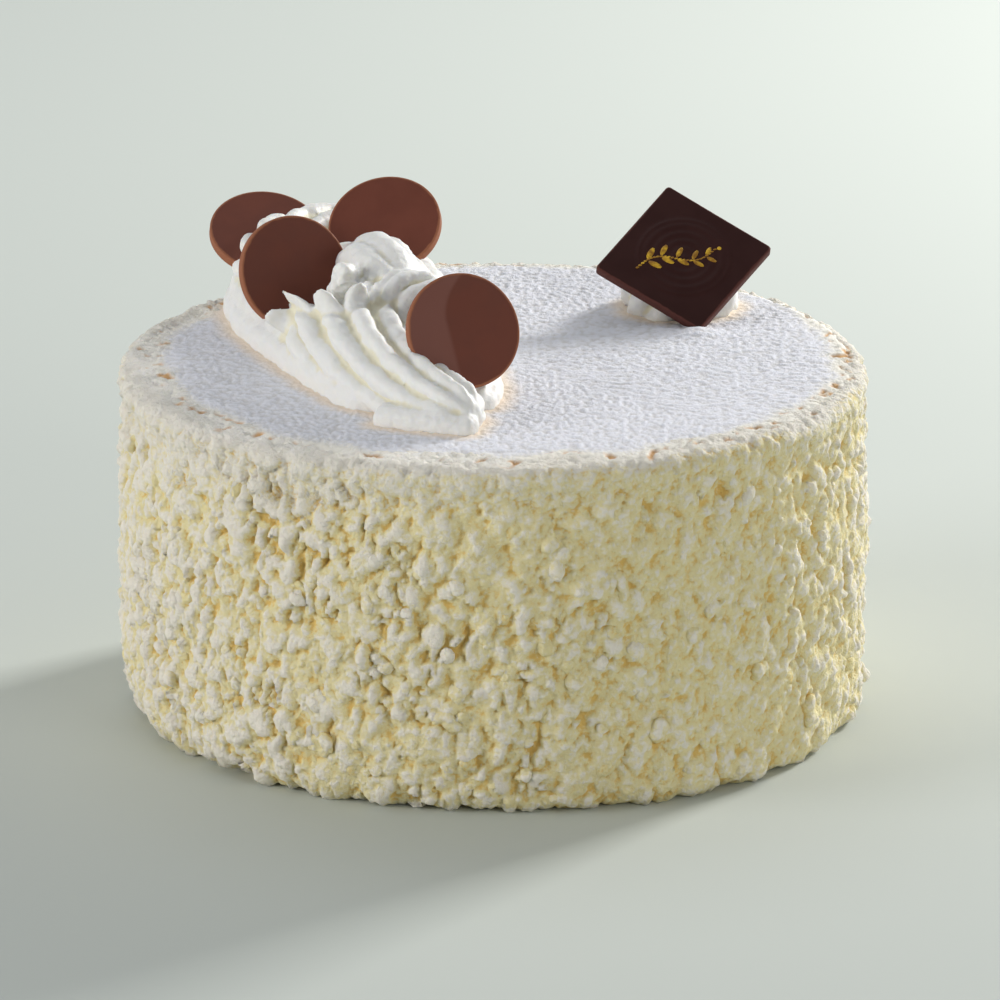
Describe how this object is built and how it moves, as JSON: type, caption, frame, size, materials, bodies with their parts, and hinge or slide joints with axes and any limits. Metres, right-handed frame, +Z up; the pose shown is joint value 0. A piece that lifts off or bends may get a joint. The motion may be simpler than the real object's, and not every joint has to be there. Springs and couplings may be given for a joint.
{
  "type": "meringue cake",
  "caption": "Round meringue cake coated with crushed meringue and dusted with sugar, with a piped cream rope, chocolate discs and a small square chocolate plaque.",
  "frame": {"origin": "middle of the cake's foot, on the surface that it stands on", "axes": "+Z up, -Y towards the side that the discs and the plaque face, +X to the right from there, with the cream rope left of the middle"},
  "size_m": [0.204, 0.2043, 0.1292],
  "materials": {
    "meringue": "dry crushed meringue and icing sugar",
    "cream": "soft whipped cream",
    "milk_chocolate": "satin moulded chocolate",
    "dark_chocolate": "satin moulded chocolate"
  },
  "bodies": {
    "root": {"cake_body": "meringue", "cream_rope": "cream", "cream_rosette": "cream", "disc_back_left": "milk_chocolate", "disc_back_right": "milk_chocolate", "disc_front_left": "milk_chocolate", "disc_front_right": "milk_chocolate", "plaque": "dark_chocolate"}
  },
  "joints": []
}
